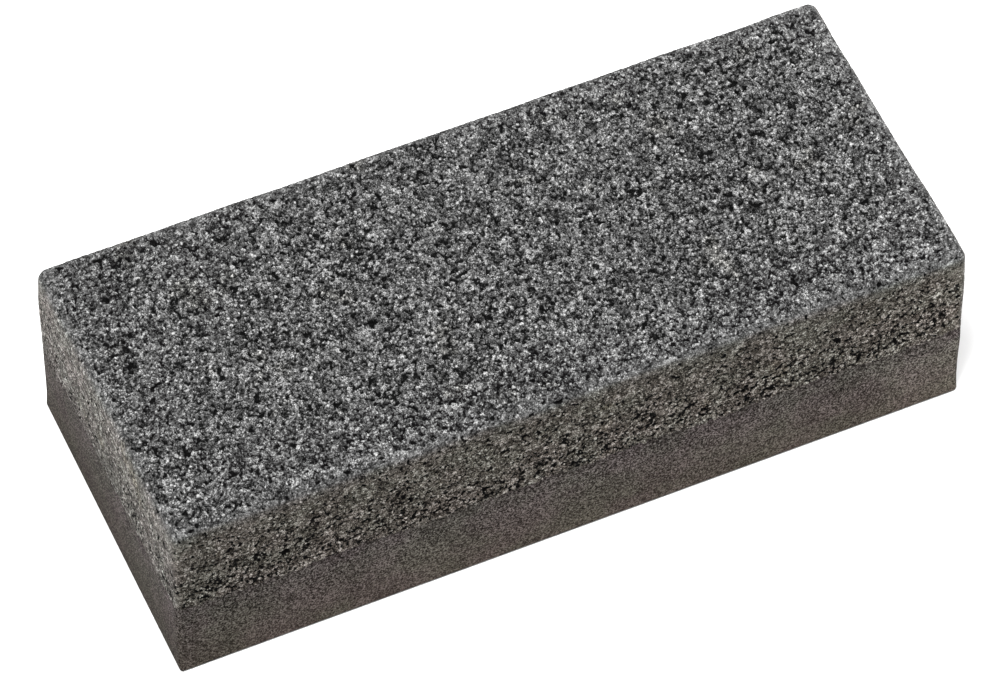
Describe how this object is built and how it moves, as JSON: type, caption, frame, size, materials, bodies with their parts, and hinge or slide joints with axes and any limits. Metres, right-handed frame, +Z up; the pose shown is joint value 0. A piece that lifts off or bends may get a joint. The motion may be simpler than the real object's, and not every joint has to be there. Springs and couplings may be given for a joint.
{
  "type": "combination sharpening whetstone",
  "caption": "Rectangular block whetstone of two bonded silicon carbide layers, coarse grit on top and fine grit below, for honing carving and whittling knives.",
  "frame": {"origin": "centre of the flat underside (the fine working face) that the stone rests on", "axes": "+X along the stone's length, +Y across its width towards the back long side, +Z up from the fine working face to the coarse working face"},
  "size_m": [0.1, 0.0422, 0.0265],
  "materials": {
    "coarse_grit": "dry, open, granular vitrified silicon carbide, coarse grit, neutral dark grey with black pores and pale worn grain tips",
    "fine_grit": "dry, dense, matt vitrified silicon carbide, fine grit, slightly brownish dark grey"
  },
  "bodies": {
    "root": {"coarse_grit_layer": "coarse_grit", "fine_grit_layer": "fine_grit"}
  },
  "joints": []
}
